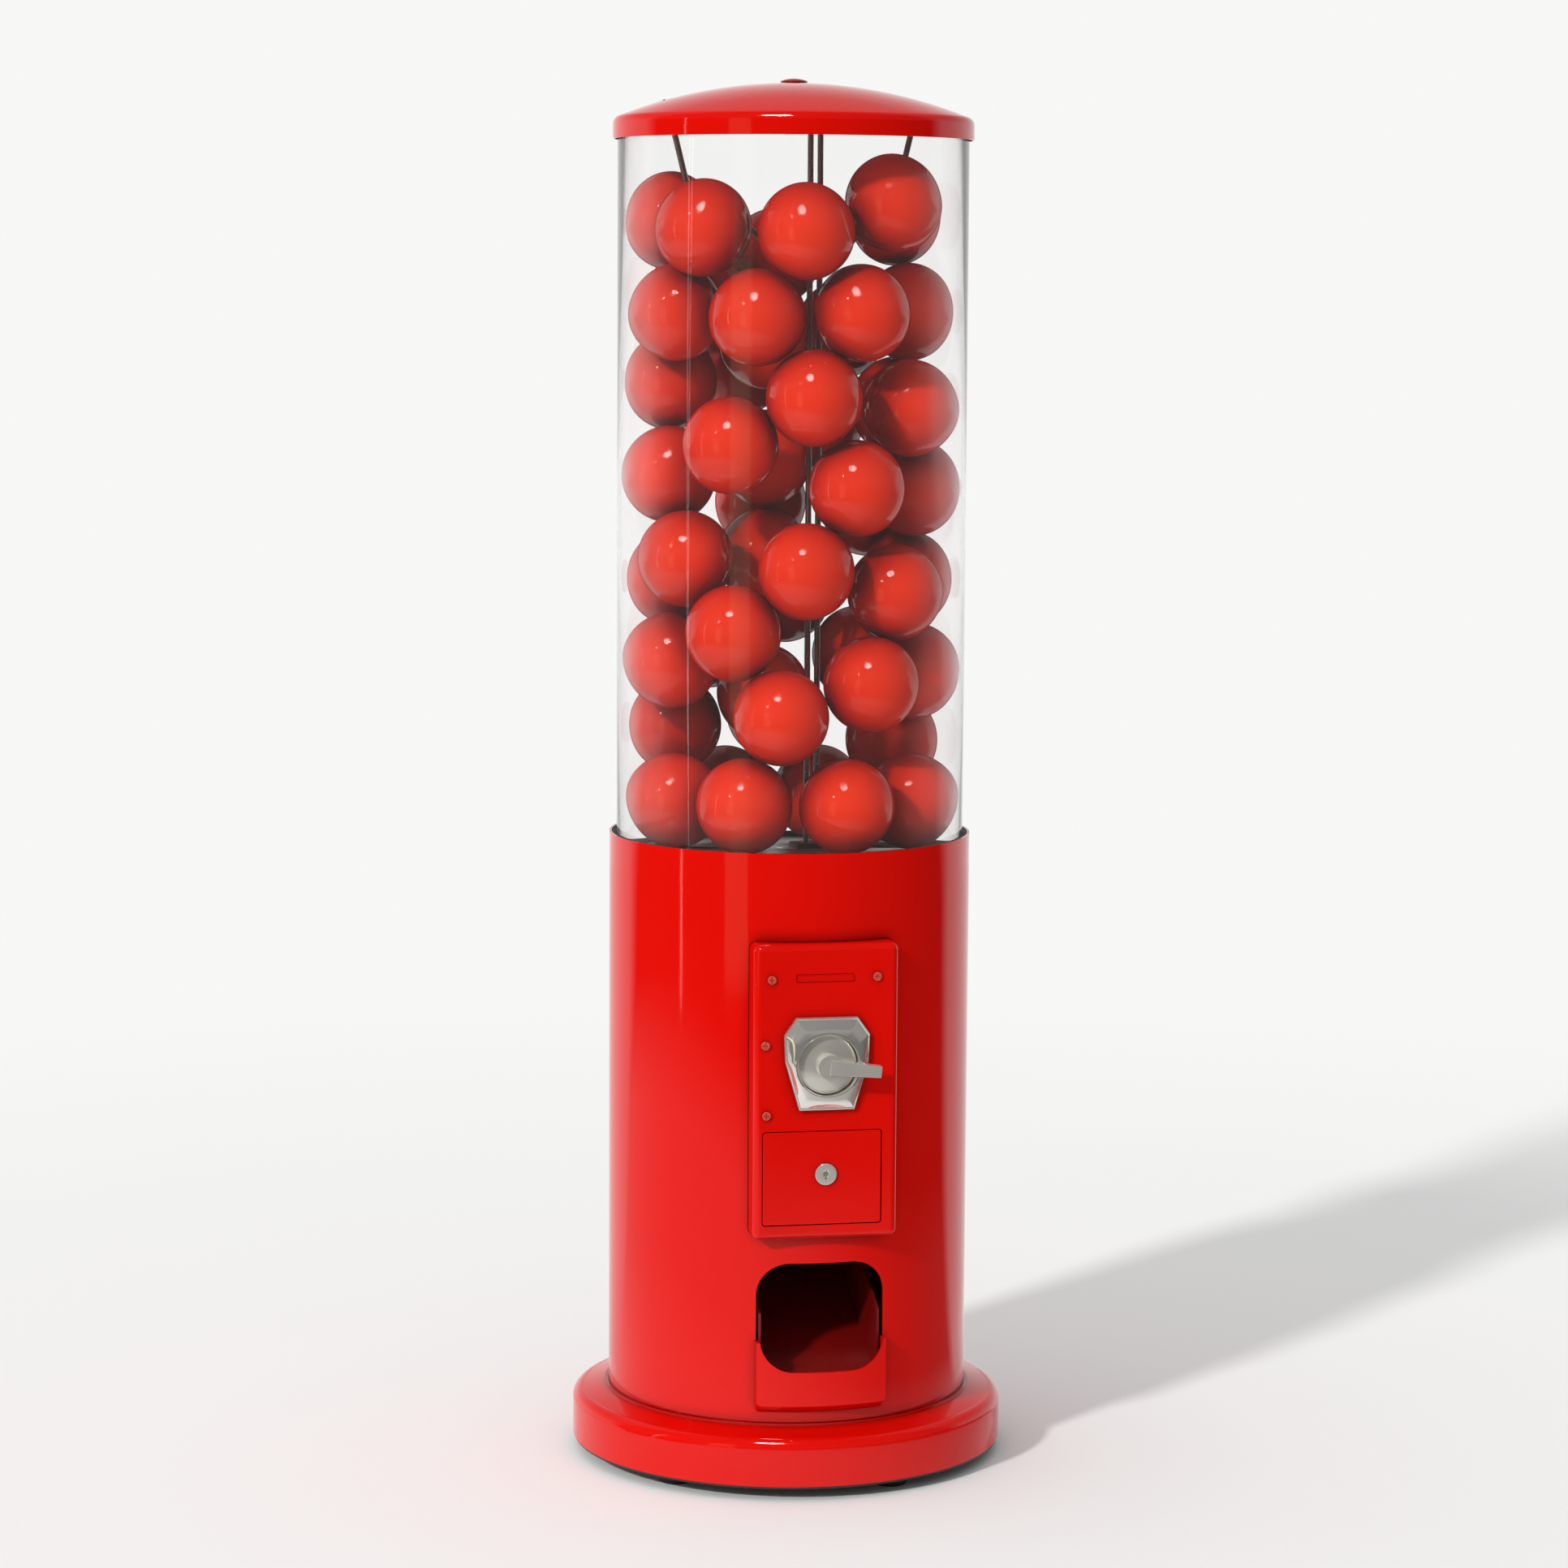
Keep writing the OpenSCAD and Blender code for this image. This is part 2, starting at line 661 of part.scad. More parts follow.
module plate_brackets() {
  color("silver") for (turn = [45, 135, 225, 315]) rotate([0, 0, turn]) intersection() {
    union() {
      ring(seat_r, seat_r - 2.5, drop_plate_z - 25, 25);
      ring(seat_r, seat_r - 16, drop_plate_z - 2.5, 2.5);
    }
    translate([0, -10, drop_plate_z - 30]) cube([big, 20, 30]);
  }
}

module hopper_floor() {
  color("gray") difference() {
    translate([0, 0, floor_z]) cylinder(r = seat_r, h = plate_t);
    for (turn = pick_up_turns) rotate([0, 0, turn]) translate([0, -pocket_ring_r, floor_z - 1])
      cylinder(d = hole_d, h = 10);
    translate([0, 0, floor_z - 1]) cylinder(d = bush_d, h = 10);
  }
}

module floor_ring() {
  color("silver") ring(seat_r, wheel_r + 2, floor_z - 10, 10);
}

module tank_tube() {
  color("white", 0.3) ring(tube_r, tube_ir, tube_z, tube_h);
}

module lid_seal() {
  color("dimgray") ring(tube_r + 0.5, tube_ir - 0.5, tube_top_z, seal_t);
}

module lid_solid(r, sphere_r, z0) {
  intersection() {
    translate([0, 0, dome_z]) sphere(sphere_r, $fn = 200);
    translate([0, 0, z0]) cylinder(r = r, h = lid_h + 20);
  }
}

module lid() {
  color("red") difference() {
    lid_solid(lid_r, dome_r, lid_z);
    lid_solid(lid_r - lid_t, dome_r - lid_t, lid_z - 1);
    translate([0, 0, lid_z]) cylinder(d = stud_d + 1, h = lid_h + 20);
    for (side = [-1, 1]) {
      translate([side * slot_r - (slot_len - slot_w) / 2, -slot_w / 2, lid_z])
        cube([slot_len - slot_w, slot_w, 60]);
      for (end = [-1, 1]) translate([side * slot_r + end * (slot_len - slot_w) / 2, 0, lid_z])
        cylinder(d = slot_w, h = 60);
    }
  }
}

module lid_cap_nut() {
  color("dimgray") translate([0, 0, lid_top_z + 0.1]) difference() {
    intersection() {
      cylinder(d = cap_nut_d, h = cap_nut_h);
      translate([0, 0, cap_nut_h - 30]) sphere(30);
    }
    translate([0, 0, -1]) cylinder(d = stud_d + 2 * fit_gap, h = cap_nut_h);
  }
}

module both_rods(z, h, d) {
  translate([rod_x, rod_y, z]) cylinder(d = d, h = h);
  translate([rod2_x, rod2_y, z]) cylinder(d = d, h = h);
}

// Flat block around both rods
module rod_block(z, h, margin, d) {
  difference() {
    translate([rod_x - margin, rod_y - margin, z])
      cube([rod2_x - rod_x + 2 * margin, rod2_y - rod_y + 2 * margin, h]);
    both_rods(z - 1, h + 2, d);
  }
}

module rod_foot() {
  color("dimgray") rod_block(floor_top_z, rod_foot_t, 9, rod_d + 2 * fit_gap);
}

module upright_rods() {
  color("dimgray") both_rods(floor_top_z, bridge_z + bridge_t - floor_top_z, rod_d);
}

module stay_collar() {
  color("dimgray") rod_block(collar_z, collar_h, collar_margin, rod_d + 2 * fit_gap);
}

module stay_rods() {
  mid_z = collar_z + collar_h / 2;
  top = [slot_r, 0, lid_top_z - 17];
  bend = [stay_bend_r, 0, stay_bend_z];
  stay_seat = collar_margin + rod_d / 2 + run_gap;
  color("gray") {
    bar(bend, top, rod_d);
    bar([rod2_x + stay_seat, 6, mid_z], bend, rod_d);
  }
  color("gray") mirror([1, 0, 0]) {
    bar(bend, top, rod_d);
    bar([stay_seat - rod_x, 0, mid_z], bend, rod_d);
  }
}

module rod_bridge() {
  color("dimgray") {
    rod_block(bridge_z, bridge_t, 5, rod_d + 2 * fit_gap);
    translate([-9, -8, bridge_z]) cube([rod_x - 5 + 9 + eps, 14, bridge_t]);
    translate([0, 0, bridge_z]) cylinder(d = stud_d, h = lid_top_z + cap_nut_h - 2 - bridge_z);
  }
}

module gumballs() {
  color("orangered") for (p = settled) translate(p) sphere(d = ball_d);
}

rubber_feet();
base_plate();
base_skirt();
body_bolts();
body_shell();
rim_gasket();
delivery_lip();
delivery_chute();
drop_tube();
front_housing();
housing_screws();
cash_guide();
cash_drawer_front();
cash_box();
lock_cylinder();
lock_cam();
mech_plate();
mech_housing();
coin_pawl();
coin_disc();
turn_handle();
handle_shaft();
drive_pinion();
shaft_bracket();
crown_gear();
wheel_shaft();
dispensing_wheel();
pocket_gumballs();
lower_bush();
upper_bush();
drop_plate();
plate_brackets();
hopper_floor();
floor_ring();
tank_tube();
lid_seal();
lid();
lid_cap_nut();
rod_foot();
upright_rods();
stay_collar();
stay_rods();
rod_bridge();
gumballs();
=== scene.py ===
# Gumball machine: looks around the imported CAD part. Metres, front is -Y, the floor is z = 0.
import json
import math

import bmesh
import bpy
from mathutils import Matrix, Vector, noise


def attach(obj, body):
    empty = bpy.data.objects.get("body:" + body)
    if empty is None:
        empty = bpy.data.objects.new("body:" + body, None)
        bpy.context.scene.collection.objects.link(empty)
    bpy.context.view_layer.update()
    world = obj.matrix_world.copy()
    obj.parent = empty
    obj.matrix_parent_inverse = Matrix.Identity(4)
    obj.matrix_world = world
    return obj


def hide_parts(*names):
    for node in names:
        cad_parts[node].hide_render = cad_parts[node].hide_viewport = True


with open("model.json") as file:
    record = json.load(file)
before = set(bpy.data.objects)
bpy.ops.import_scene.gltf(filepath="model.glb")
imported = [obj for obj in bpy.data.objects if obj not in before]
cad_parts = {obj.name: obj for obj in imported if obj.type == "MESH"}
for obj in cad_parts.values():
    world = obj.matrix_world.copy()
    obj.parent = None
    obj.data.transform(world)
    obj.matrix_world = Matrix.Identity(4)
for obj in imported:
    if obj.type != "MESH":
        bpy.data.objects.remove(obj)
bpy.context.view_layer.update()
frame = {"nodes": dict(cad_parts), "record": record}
nodes = frame["nodes"]

# Camera, in metres and degrees: distance from the machine's axis, height, downward tilt, how far round to the
# left it stands, its roll, lens and sensor in millimetres, and how far it aims beside the axis
CAMERA_DISTANCE = 3.5319
CAMERA_HEIGHT = 0.98549
CAMERA_TILT = 6.846
CAMERA_TURN = 11.0
CAMERA_ROLL = 0.35
CAMERA_LENS = 98.09
CAMERA_SENSOR = 36.0
CAMERA_AIM = 0.0762


# ---------------------------------------------------------------- node helpers
def socket(node, name, value):
    node.inputs[name].default_value = value


def new_group(name, inputs, outputs):
    group = bpy.data.node_groups.new(name, "ShaderNodeTree")
    for label, kind, value in inputs:
        item = group.interface.new_socket(name=label, in_out="INPUT", socket_type=kind)
        item.default_value = value
    for label, kind in outputs:
        group.interface.new_socket(name=label, in_out="OUTPUT", socket_type=kind)
    start = group.nodes.new("NodeGroupInput")
    end = group.nodes.new("NodeGroupOutput")
    return group, start, end


def math_node(tree, operation, first, second=None, clamp=False):
    node = tree.nodes.new("ShaderNodeMath")
    node.operation = operation
    node.use_clamp = clamp
    for index, value in enumerate((first, second)):
        if value is None:
            continue
        if isinstance(value, (int, float)):
            node.inputs[index].default_value = value
        else:
            tree.links.new(value, node.inputs[index])
    return node.outputs[0]


def noise_node(tree, vector, scale, detail=3.0, rough=0.5):
    node = tree.nodes.new("ShaderNodeTexNoise")
    socket(node, "Detail", detail)
    socket(node, "Roughness", rough)
    tree.links.new(vector, node.inputs["Vector"])
    if isinstance(scale, (int, float)):
        socket(node, "Scale", scale)
    else:
        tree.links.new(scale, node.inputs["Scale"])
    return node.outputs["Fac"]


def range_node(tree, value, low, high, to_low, to_high):
    node = tree.nodes.new("ShaderNodeMapRange")
    tree.links.new(value, node.inputs["Value"])
    for name, number in (("From Min", low), ("From Max", high), ("To Min", to_low), ("To Max", to_high)):
        if isinstance(number, (int, float)):
            socket(node, name, number)
        else:
            tree.links.new(number, node.inputs[name])
    return node.outputs["Result"]


def mix_colour(tree, factor, first, second):
    node = tree.nodes.new("ShaderNodeMix")
    node.data_type = "RGBA"
    for index, value in ((0, factor), (6, first), (7, second)):
        if isinstance(value, (int, float, tuple)):
            node.inputs[index].default_value = value
        else:
            tree.links.new(value, node.inputs[index])
    return node.outputs[2]


def rgb(red, green, blue):
    return (red, green, blue, 1.0)


WHITE = rgb(1.0, 1.0, 1.0)


# ---------------------------------------------------------------- shared effects
def surface_wear():
    """Slow colour drift, fine roughness variation and a bump height, for coated and moulded surfaces."""
    group, start, end = new_group(
        "surface_wear",
        [("Colour", "NodeSocketColor", rgb(0.5, 0.5, 0.5)), ("Drift", "NodeSocketFloat", 0.06),
         ("Drift Scale", "NodeSocketFloat", 6.0), ("Grain Scale", "NodeSocketFloat", 400.0),
         ("Rough Low", "NodeSocketFloat", 0.1), ("Rough High", "NodeSocketFloat", 0.2)],
        [("Colour", "NodeSocketColor"), ("Roughness", "NodeSocketFloat"), ("Height", "NodeSocketFloat")])
    coords = group.nodes.new("ShaderNodeTexCoord").outputs["Object"]
    drift = noise_node(group, coords, start.outputs["Drift Scale"], 4.0)
    grain = noise_node(group, coords, start.outputs["Grain Scale"], 2.0)
    smear = noise_node(group, coords, 23.0, 5.0, 0.6)
    hue = group.nodes.new("ShaderNodeHueSaturation")
    group.links.new(start.outputs["Colour"], hue.inputs["Color"])
    low = math_node(group, "SUBTRACT", 1.0, start.outputs["Drift"])
    high = math_node(group, "ADD", 1.0, start.outputs["Drift"])
    group.links.new(range_node(group, drift, 0.3, 0.7, low, high), hue.inputs["Value"])
    group.links.new(hue.outputs["Color"], end.inputs["Colour"])
    rough = range_node(group, smear, 0.35, 0.7, start.outputs["Rough Low"], start.outputs["Rough High"])
    group.links.new(rough, end.inputs["Roughness"])
    group.links.new(grain, end.inputs["Height"])
    return group


def painted_crevice_shade():
    """Painted shade: runs a colour to a darker one where the openness, one on a free surface, falls."""
    group, start, end = new_group(
        "painted_crevice_shade",
        [("Colour", "NodeSocketColor", rgb(0.5, 0.5, 0.5)), ("Deep", "NodeSocketColor", rgb(0.1, 0.1, 0.1)),
         ("Openness", "NodeSocketFloat", 1.0)],
        [("Colour", "NodeSocketColor")])
    share = range_node(group, start.outputs["Openness"], 0.35, 0.95, 0.0, 1.0)
    colour = mix_colour(group, share, start.outputs["Deep"], start.outputs["Colour"])
    group.links.new(colour, end.inputs["Colour"])
    return group


def clear_haze():
    """Faint cloudiness of clear plastic: a tint that comes and goes, and roughness that follows it."""
    group, start, end = new_group(
        "clear_haze",
        [("Tint", "NodeSocketColor", rgb(0.98, 0.98, 0.98)), ("Rough Low", "NodeSocketFloat", 0.0),
         ("Rough High", "NodeSocketFloat", 0.01)],
        [("Colour", "NodeSocketColor"), ("Roughness", "NodeSocketFloat")])
    coords = group.nodes.new("ShaderNodeTexCoord").outputs["Object"]
    haze = noise_node(group, coords, 18.0, 4.0)
    rough = range_node(group, haze, 0.4, 0.75, start.outputs["Rough Low"], start.outputs["Rough High"])
    group.links.new(rough, end.inputs["Roughness"])
    group.links.new(mix_colour(group, haze, start.outputs["Tint"], WHITE), end.inputs["Colour"])
    return group


WEAR = surface_wear()
CREVICE_SHADE = painted_crevice_shade()
HAZE = clear_haze()


def new_material(name):
    material = bpy.data.materials.new(name)
    material.use_nodes = True
    tree = material.node_tree
    return material, tree, tree.nodes["Principled BSDF"]


def place_group(tree, group, **values):
    """A group in a material with its own values; an underscore in a value's name stands for a space."""
    node = tree.nodes.new("ShaderNodeGroup")
    node.node_tree = group
    for label, value in values.items():
        socket(node, label.replace("_", " "), value)
    return node


def wear_material(name, colour, drift, drift_scale, grain_scale, rough, metallic=0.0, bump=0.0002, ior=1.5):
    """Coated, plated or moulded surface: drift as a share, scales per metre, bump in metres."""
    material, tree, shader = new_material(name)
    node = place_group(tree, WEAR, Colour=rgb(*colour), Drift=drift, Drift_Scale=drift_scale,
                       Grain_Scale=grain_scale, Rough_Low=rough[0], Rough_High=rough[1])
    tree.links.new(node.outputs["Colour"], shader.inputs["Base Color"])
    tree.links.new(node.outputs["Roughness"], shader.inputs["Roughness"])
    bump_node = tree.nodes.new("ShaderNodeBump")
    socket(bump_node, "Strength", 0.5)
    socket(bump_node, "Distance", bump)
    tree.links.new(node.outputs["Height"], bump_node.inputs["Height"])
    tree.links.new(bump_node.outputs["Normal"], shader.inputs["Normal"])
    socket(shader, "Metallic", metallic)
    socket(shader, "IOR", ior)
    return material


RED_PAINT = wear_material("red_enamel", (0.68, 0.0030, 0.0006), 0.02, 3.0, 900.0, (0.05, 0.085),
                          bump=0.00002, ior=1.39)
GUMBALL = wear_material("gumball_shell", (0.83, 0.028, 0.003), 0.07, 9.0, 60.0, (0.03, 0.06),
                        bump=0.0001, ior=1.42)
CHROME = wear_material("chrome_plate", (0.90, 0.87, 0.81), 0.02, 8.0, 500.0, (0.06, 0.12), 0.84, 0.00003)
CASTING = wear_material("polished_casting", (0.92, 0.88, 0.80), 0.03, 40.0, 500.0, (0.12, 0.18), 0.7, 0.00004)
# Screw heads: a paler, pinker red than the enamel, painted sheen for the light their heads catch
SCREW_SHEEN_PAINT = wear_material("screw_paint_with_sheen", (0.60, 0.075, 0.05), 0.25, 300.0, 900.0, (0.15, 0.25))
NUT_PAINT = wear_material("nut_enamel", (0.30, 0.006, 0.004), 0.08, 60.0, 900.0, (0.1, 0.2))
RUBBER = wear_material("black_rubber", (0.012, 0.012, 0.012), 0.2, 30.0, 900.0, (0.55, 0.75), bump=0.0002)
DARK_STEEL = wear_material("dark_painted_steel", (0.03, 0.022, 0.02), 0.15, 12.0, 600.0, (0.3, 0.45))
FLOOR_STEEL = wear_material("hopper_floor_paint", (0.10, 0.085, 0.078), 0.12, 10.0, 500.0, (0.3, 0.5))
ROD_STEEL = wear_material("drawn_rod_steel", (0.30, 0.25, 0.235), 0.08, 30.0, 800.0, (0.22, 0.34), 1.0)
ZINC = wear_material("zinc_plate", (0.58, 0.60, 0.62), 0.08, 22.0, 700.0, (0.28, 0.42), 1.0, 0.00005)
BRASS = wear_material("machined_brass", (0.78, 0.57, 0.24), 0.06, 25.0, 800.0, (0.2, 0.32), 1.0, 0.00004)
# Delivery chute: a red-brown kept dark as painted shade for the inside of the delivery opening
CHUTE_SHADED_PAINT = wear_material("chute_shaded_red_brown", (0.20, 0.004, 0.003), 0.15, 14.0, 600.0, (0.35, 0.5))
WHEEL_PLASTIC = wear_material("moulded_wheel_plastic", (0.80, 0.79, 0.74), 0.03, 14.0, 700.0, (0.35, 0.5))


# Darker reds painted in as shade: at the balls' rims, between the balls, and in the corners of the enamel
BALL_RIM_SHADE = (0.36, 0.002, 0.001)
BALL_CREVICE_SHADE = (0.24, 0.0015, 0.0008)
PAINT_CREVICE_SHADE = (0.16, 0.0008, 0.0004)
BALL_REACH = 0.05
PAINT_REACH = 0.012
# Whitish film on clear plastic, thickest where a wall turns away, a painted milky sheen in place of grazing
# reflection: its colour, its share on faces seen square on, and what light keeps in passing
EDGE_SHEEN = (0.95, 0.90, 0.88)
EDGE_SHEEN_SQUARE_ON = 0.003
CLEAR_SHADOW = (0.97, 0.97, 0.97)


def facing_node(tree, blend):
    node = tree.nodes.new("ShaderNodeLayerWeight")
    socket(node, "Blend", blend)
    return node.outputs["Facing"]


def mix_shaders(tree, share, first, second):
    node = tree.nodes.new("ShaderNodeMixShader")
    tree.links.new(share, node.inputs["Fac"])
    tree.links.new(first, node.inputs[1])
    tree.links.new(second, node.inputs[2])
    return node.outputs["Shader"]


def paint_ball_rim_shade(material):
    """Sugar shell: towards the rim of a ball the colour runs to a darker red as painted shade, and the gloss
    fades.
    """
    tree = material.node_tree
    shader = tree.nodes["Principled BSDF"]
    colour = shader.inputs["Base Color"].links[0].from_socket
    # Painted shade: darker red towards each ball's rim
    rim_shaded = mix_colour(tree, facing_node(tree, 0.42), colour, rgb(*BALL_RIM_SHADE))
    tree.links.new(rim_shaded, shader.inputs["Base Color"])
    gloss = range_node(tree, facing_node(tree, 0.5), 0.50, 0.80, 0.5, 0.0)
    tree.links.new(gloss, shader.inputs["Specular IOR Level"])


def paint_crevice_shade(material, reach, deep, own_only):
    """Painted shade where surfaces come close together: the colour runs to the deep one."""
    tree = material.node_tree
    shader = tree.nodes["Principled BSDF"]
    colour = shader.inputs["Base Color"].links[0].from_socket
    near = tree.nodes.new("ShaderNodeAmbientOcclusion")
    near.samples = 6
    near.only_local = own_only
    socket(near, "Distance", reach)
    node = place_group(tree, CREVICE_SHADE, Deep=rgb(*deep))
    tree.links.new(colour, node.inputs["Colour"])
    tree.links.new(near.outputs["AO"], node.inputs["Openness"])
    tree.links.new(node.outputs["Colour"], shader.inputs["Base Color"])


paint_ball_rim_shade(GUMBALL)
# Painted shade between touching balls, and in the enamel's corners and recesses
paint_crevice_shade(GUMBALL, BALL_REACH, BALL_CREVICE_SHADE, True)
paint_crevice_shade(RED_PAINT, PAINT_REACH, PAINT_CREVICE_SHADE, False)


def clear_material(name, tint, ior, rough, edge_sheen):
    """Clear plastic with a whitish film, a painted sheen that shows where the wall turns away; shadow rays
    pass through.
    """
    material, tree, shader = new_material(name)
    haze = place_group(tree, HAZE, Tint=rgb(*tint), Rough_Low=rough[0], Rough_High=rough[1])
    tree.links.new(haze.outputs["Colour"], shader.inputs["Base Color"])
    tree.links.new(haze.outputs["Roughness"], shader.inputs["Roughness"])
    socket(shader, "Transmission Weight", 1.0)
    socket(shader, "IOR", ior)
    film = tree.nodes.new("ShaderNodeBsdfDiffuse")
    socket(film, "Color", rgb(*EDGE_SHEEN))
    clear = tree.nodes.new("ShaderNodeBsdfTransparent")
    socket(clear, "Color", rgb(*CLEAR_SHADOW))
    film_share = range_node(tree, facing_node(tree, 0.5), 0.27, 0.42, EDGE_SHEEN_SQUARE_ON, edge_sheen)
    sheened = mix_shaders(tree, film_share, shader.outputs["BSDF"], film.outputs["BSDF"])
    path = tree.nodes.new("ShaderNodeLightPath")
    soft = math_node(tree, "MAXIMUM", path.outputs["Is Shadow Ray"], path.outputs["Is Diffuse Ray"])
    surface = mix_shaders(tree, soft, sheened, clear.outputs["BSDF"])
    tree.links.new(surface, tree.nodes["Material Output"].inputs["Surface"])
    return material


# The last value is the share of the painted edge sheen where a wall turns away
ACRYLIC = clear_material("clear_acrylic", (0.985, 0.99, 0.99), 1.27, (0.0, 0.004), 0.035)
SEAL = clear_material("clear_seal", (0.80, 0.79, 0.78), 1.42, (0.3, 0.4), 0.05)

SLOT_MATERIALS = {
    "red_paint": RED_PAINT, "gumball": GUMBALL, "clear_acrylic": ACRYLIC, "clear_seal": SEAL,
    "rubber": RUBBER, "chrome": CHROME, "dark_steel": DARK_STEEL, "rod_steel": ROD_STEEL, "zinc_steel": ZINC,
    "floor_steel": FLOOR_STEEL, "brass": BRASS, "wheel_plastic": WHEEL_PLASTIC}
OWN_MATERIALS = {
    "delivery_chute": CHUTE_SHADED_PAINT, "housing_screws": SCREW_SHEEN_PAINT, "lid_cap_nut": NUT_PAINT,
    "turn_handle": CASTING, "lock_cylinder": CASTING}

for part in frame["record"]["subparts"]:
    part_mesh = nodes[part["node"]].data
    part_mesh.materials.clear()
    part_mesh.materials.append(OWN_MATERIALS.get(part["node"], SLOT_MATERIALS[part["material_slot"]]))


# ---------------------------------------------------------------- mesh helpers
def finish_piece(name, mesh, material, body, replaced, smooth_angle=35.0):
    piece = bpy.data.objects.new(name, mesh)
    bpy.context.scene.collection.objects.link(piece)
    mesh.materials.clear()
    mesh.materials.append(material)
    mesh.shade_smooth()
    if smooth_angle is not None:
        mesh.set_sharp_from_angle(angle=math.radians(smooth_angle))
    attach(piece, body)
    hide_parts(*replaced)
    return piece


BODY_OF = {}
for body_name, members in frame["record"]["behaviour"]["bodies"].items():
    for member in members:
        BODY_OF[member] = body_name

# Edges that meet at less than this angle belong to a curved surface and aren't rounded
ROUND_FROM = 32


def everywhere(place):
    return True


def rounded_node(node, rounds):
    """The node's own shape with its sharp edges rounded: each round is a width, segments and a test."""
    work = bmesh.new()
    work.from_mesh(nodes[node].data)
    bmesh.ops.remove_doubles(work, verts=work.verts, dist=2e-6)
    bmesh.ops.dissolve_limit(work, angle_limit=math.radians(0.6), verts=work.verts, edges=work.edges)
    for width, segments, test in rounds:
        sharp = [edge for edge in work.edges if len(edge.link_faces) == 2
                 and edge.calc_face_angle() > math.radians(ROUND_FROM)
                 and test((edge.verts[0].co + edge.verts[1].co) / 2)]
        bmesh.ops.bevel(work, geom=sharp, offset=width, offset_type="OFFSET", segments=segments, profile=0.5,
                        affect="EDGES", clamp_overlap=True, loop_slide=True)
    bmesh.ops.triangulate(work, faces=[face for face in work.faces if len(face.verts) > 4])
    mesh = bpy.data.meshes.new(node + "_rounded")
    work.to_mesh(mesh)
    work.free()
    material = nodes[node].data.materials[0]
    piece = finish_piece(node + "_rounded", mesh, material, BODY_OF[node], (node,), 40.0)
    flat = piece.modifiers.new("flat_faces", "WEIGHTED_NORMAL")
    flat.keep_sharp = True


def arc(centre_r, centre_z, radius, start, stop, steps):
    """Points of a round corner in a turned outline, angles in degrees from outwards."""
    points = []
    for step in range(steps + 1):
        angle = math.radians(start + (stop - start) * step / steps)
        points.append((centre_r + radius * math.cos(angle), centre_z + radius * math.sin(angle)))
    return points


def closed_rings(levels):
    """Rings of points, each joined to the next and the last to the first."""
    work = bmesh.new()
    rings = [[work.verts.new(point) for point in points] for points in levels]
    for ring, following in zip(rings, rings[1:] + rings[:1]):
        count = len(ring)
        for index in range(count):
            after = (index + 1) % count
            work.faces.new((ring[index], ring[after], following[after], following[index]))
    bmesh.ops.recalc_face_normals(work, faces=work.faces)
    return work


def turned(outline, segments):
    """A closed outline of radius and height turned round the machine's axis."""
    levels = []
    for radius, height in outline:
        turns = [2 * math.pi * index / segments for index in range(segments)]
        levels.append([(radius * math.cos(turn), radius * math.sin(turn), height) for turn in turns])
    return closed_rings(levels)


def as_mesh(work, name):
    mesh = bpy.data.meshes.new(name)
    work.to_mesh(mesh)
    work.free()
    return mesh


def node_box(node):
    corners = [vert.co for vert in nodes[node].data.vertices]
    low = Vector([min(corner[axis] for corner in corners) for axis in range(3)])
    high = Vector([max(corner[axis] for corner in corners) for axis in range(3)])
    return low, high


# ---------------------------------------------------------------- clear tank
def tank_wall():
    """The clear tube with polished, slightly rounded ends."""
    low, high = node_box("tank_tube")
    radius = high.x
    wall = 0.003
    edge = 0.0006
    outline = []
    outline += arc(radius - edge, low.z + edge, edge, -90, 0, 3)
    outline += arc(radius - edge, high.z - edge, edge, 0, 90, 3)
    outline += arc(radius - wall + edge, high.z - edge, edge, 90, 180, 3)
    outline += arc(radius - wall + edge, low.z + edge, edge, 180, 270, 3)
    mesh = as_mesh(turned(outline, 320), "tank_wall")
    finish_piece("tank_wall", mesh, ACRYLIC, "machine", ("tank_tube",))


tank_wall()


# ---------------------------------------------------------------- painted sheet and castings
LID_LOW, LID_HIGH = node_box("lid")


def lid_shoulder(place):
    return place.z > LID_LOW.z + 0.012 and math.hypot(place.x, place.y) > LID_HIGH.x - 0.002


def flat_front(node, depth=0.0006):
    front = node_box(node)[0].y

    def test(place):
        return place.y < front + depth
    return test


LIP_LOW, LIP_HIGH = node_box("delivery_lip")


def lip_corner(place):
    return place.z < LIP_LOW.z + 0.009 and abs(place.x) > LIP_HIGH.x - 0.0012


rounded_node("lid", [(0.0045, 6, lid_shoulder)])
rounded_node("body_shell", [(0.0005, 2, everywhere)])
rounded_node("front_housing", [(0.0004, 2, everywhere)])
rounded_node("cash_drawer_front", [(0.0008, 3, flat_front("cash_drawer_front"))])
rounded_node("delivery_lip", [(0.006, 5, lip_corner), (0.0008, 3, everywhere)])
rounded_node("lock_cylinder", [(0.0005, 3, flat_front("lock_cylinder"))])
rounded_node("housing_screws", [(0.0005, 3, flat_front("housing_screws"))])
rounded_node("turn_handle", [(0.0022, 5, everywhere)])
rounded_node("rubber_feet", [(0.0008, 2, everywhere)])
rounded_node("stay_collar", [(0.0006, 2, everywhere)])
rounded_node("rod_bridge", [(0.0006, 2, everywhere)])


